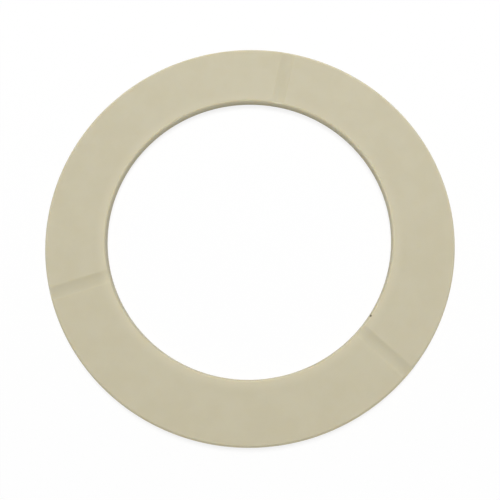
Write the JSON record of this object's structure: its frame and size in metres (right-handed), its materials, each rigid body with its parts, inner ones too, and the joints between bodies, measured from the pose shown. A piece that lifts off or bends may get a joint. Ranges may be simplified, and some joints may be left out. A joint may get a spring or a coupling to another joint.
{
  "type": "thrust washer",
  "caption": "Flat plastic thrust washer: a wide ring with broken edges and shallow radial grease grooves across one face.",
  "frame": {"origin": "centre of the ring on its plain back face, on which it lies", "axes": "+Z along the bore axis, out of the grooved thrust face; +Y along the first of the radial grooves"},
  "size_m": [0.185, 0.185, 0.005],
  "materials": {
    "natural_nylon": "natural cream nylon, turned and lightly satin, uncoloured"
  },
  "bodies": {
    "root": {"thrust_washer": "natural_nylon"}
  },
  "joints": []
}
